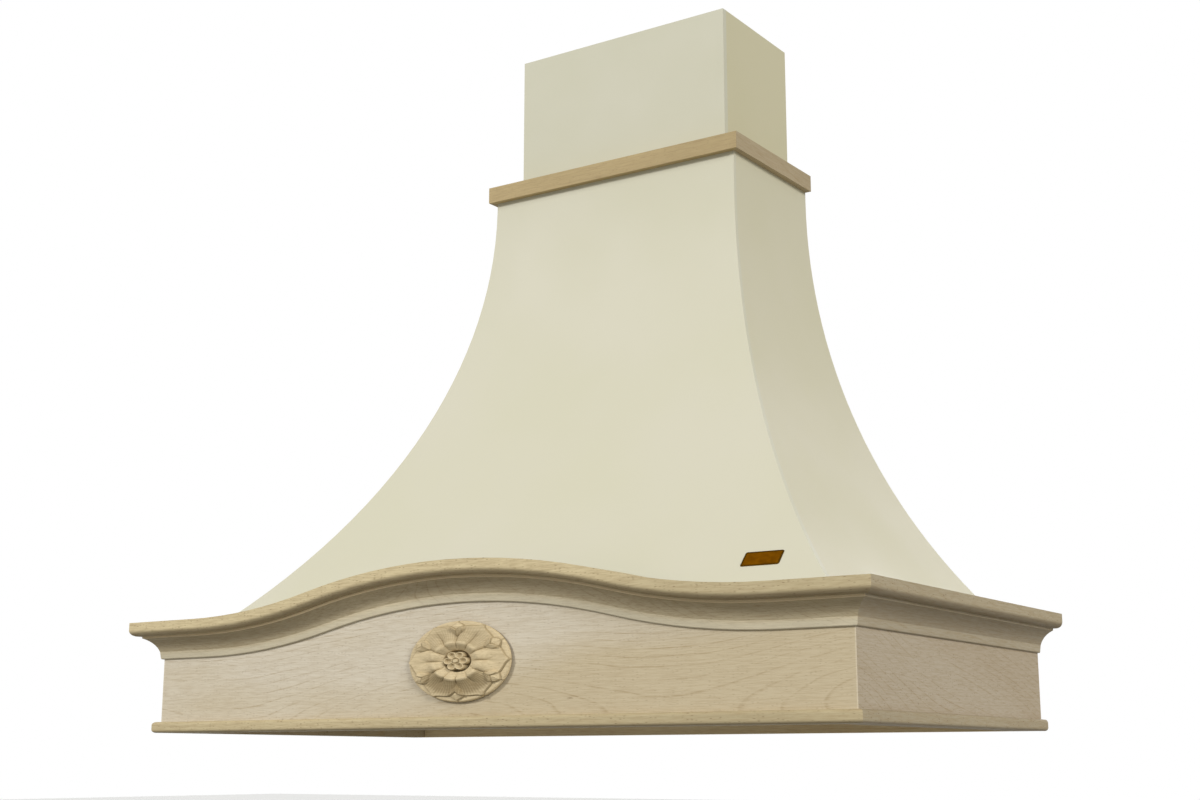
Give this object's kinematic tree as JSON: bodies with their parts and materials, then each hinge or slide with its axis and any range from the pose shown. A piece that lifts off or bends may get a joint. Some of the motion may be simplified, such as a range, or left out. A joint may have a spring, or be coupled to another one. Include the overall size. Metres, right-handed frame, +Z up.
{
  "type": "range hood cover",
  "caption": "Wall-hung wooden range hood cover: beech valance with wave-topped crown moulding and oval rosette, flared painted canopy, and a painted chimney that slides up.",
  "frame": {"origin": "middle of the lower wall rail's bottom edge: on the wall plane, on the middle plane, level with the underside of the bottom strips", "axes": "+X along the wall to the right as seen from the room, +Y into the wall, +Z up"},
  "size_m": [1, 0.5155, 0.913],
  "materials": {
    "bare_beech": "planed and sanded, unfinished",
    "cream_paint": "satin cream paint on bent board",
    "birch_plywood": "sanded plywood",
    "planed_softwood": "planed softwood"
  },
  "bodies": {
    "cover": {"base_strip_front": "bare_beech", "base_strip_left": "bare_beech", "base_strip_right": "bare_beech", "canopy_front_skin": "cream_paint", "canopy_skin_left": "cream_paint", "canopy_skin_right": "cream_paint", "collar_front": "bare_beech", "collar_left": "bare_beech", "collar_right": "bare_beech", "corner_block_left": "planed_softwood", "corner_block_right": "planed_softwood", "crown_cap_front": "bare_beech", "crown_cap_left": "bare_beech", "crown_cap_right": "bare_beech", "crown_cove_front": "bare_beech", "crown_cove_left": "bare_beech", "crown_cove_right": "bare_beech", "front_rib_left": "birch_plywood", "front_rib_middle": "birch_plywood", "front_rib_right": "birch_plywood", "hip_batten_left": "planed_softwood", "hip_batten_right": "planed_softwood", "insert_shelf": "birch_plywood", "lower_back_rail": "planed_softwood", "platform_front": "birch_plywood", "platform_left": "birch_plywood", "platform_right": "birch_plywood", "rosette": "bare_beech", "shelf_cleat_back": "planed_softwood", "shelf_cleat_front": "planed_softwood", "shelf_cleat_left": "planed_softwood", "shelf_cleat_right": "planed_softwood", "side_rib_left": "birch_plywood", "side_rib_right": "birch_plywood", "top_rail_front": "planed_softwood", "top_rail_left": "planed_softwood", "top_rail_right": "planed_softwood", "upper_back_rail": "planed_softwood", "valance_front": "bare_beech", "valance_left": "bare_beech", "valance_right": "bare_beech", "wall_former_left": "birch_plywood", "wall_former_right": "birch_plywood"},
    "chimney": {"chimney_back_strip_lower": "birch_plywood", "chimney_back_strip_upper": "birch_plywood", "chimney_corner_batten_left": "planed_softwood", "chimney_corner_batten_right": "planed_softwood", "chimney_front": "cream_paint", "chimney_side_left": "cream_paint", "chimney_side_right": "cream_paint", "chimney_stop_left": "planed_softwood", "chimney_stop_right": "planed_softwood"}
  },
  "joints": [
    {"name": "chimney_slide", "type": "slide", "parent": "cover", "child": "chimney", "axis": [0, 0, 1], "range_m": [0, 0.2]}
  ]
}
